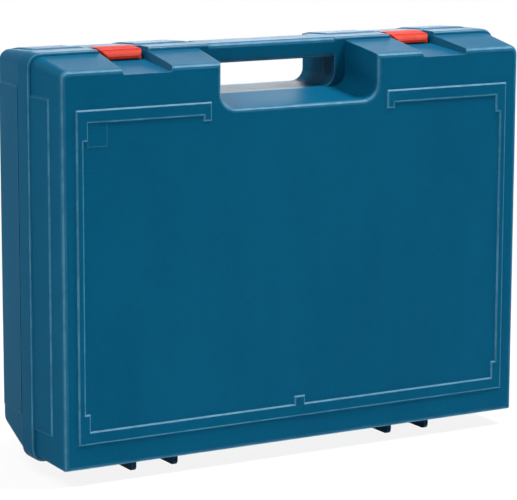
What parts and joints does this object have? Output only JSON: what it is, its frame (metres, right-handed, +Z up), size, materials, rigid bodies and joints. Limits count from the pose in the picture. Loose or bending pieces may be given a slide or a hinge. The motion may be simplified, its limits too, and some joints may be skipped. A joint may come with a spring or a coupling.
{
  "type": "power tool carrying case",
  "caption": "Hinged hard plastic carrying case for a power tool, with a built-in carrying handle, over-centre latches and a fitted tool tray.",
  "frame": {"origin": "centre of the bounding box at the ground under the shut, standing case", "axes": "+Z up, +X to the right seen from the large front face, +Y from the front face to the back"},
  "size_m": [0.391, 0.1, 0.301],
  "materials": {
    "shell_blue": "fine moulded grain, satin",
    "latch_red": "smooth moulded gloss",
    "tray_grey": "matt formed sheet",
    "pin_steel": "drawn steel",
    "clip_black": "matt elastomer"
  },
  "bodies": {
    "base": {"base_shell": "shell_blue", "hinge_pin_left": "pin_steel", "hinge_pin_right": "pin_steel", "tool_tray": "tray_grey", "tray_screws": "pin_steel", "bin_lid_pins": "pin_steel", "bit_clip_outer": "clip_black", "bit_clip_inner": "clip_black"},
    "lid": {"lid_shell": "shell_blue", "latch_pin_left": "pin_steel", "latch_pin_right": "pin_steel"},
    "left_latch": {"latch_left": "latch_red"},
    "right_latch": {"latch_right": "latch_red"},
    "bin_cover": {"bin_lid": "tray_grey"}
  },
  "joints": [
    {"name": "lid_hinge", "type": "hinge", "parent": "base", "child": "lid", "pos_m": [0, 0.008, 0.0028], "axis": [-1, 0, 0], "range_deg": [0, 105]},
    {"name": "latch_left_pivot", "type": "hinge", "parent": "lid", "child": "left_latch", "pos_m": [-0.121, 0.014, 0.2954], "axis": [-1, 0, 0], "range_deg": [0, 90]},
    {"name": "latch_right_pivot", "type": "hinge", "parent": "lid", "child": "right_latch", "pos_m": [0.121, 0.014, 0.2954], "axis": [-1, 0, 0], "range_deg": [0, 90]},
    {"name": "bin_lid_hinge", "type": "hinge", "parent": "base", "child": "bin_cover", "pos_m": [0.084, 0.0038, 0.0975], "axis": [1, 0, 0], "range_deg": [0, 90]}
  ]
}
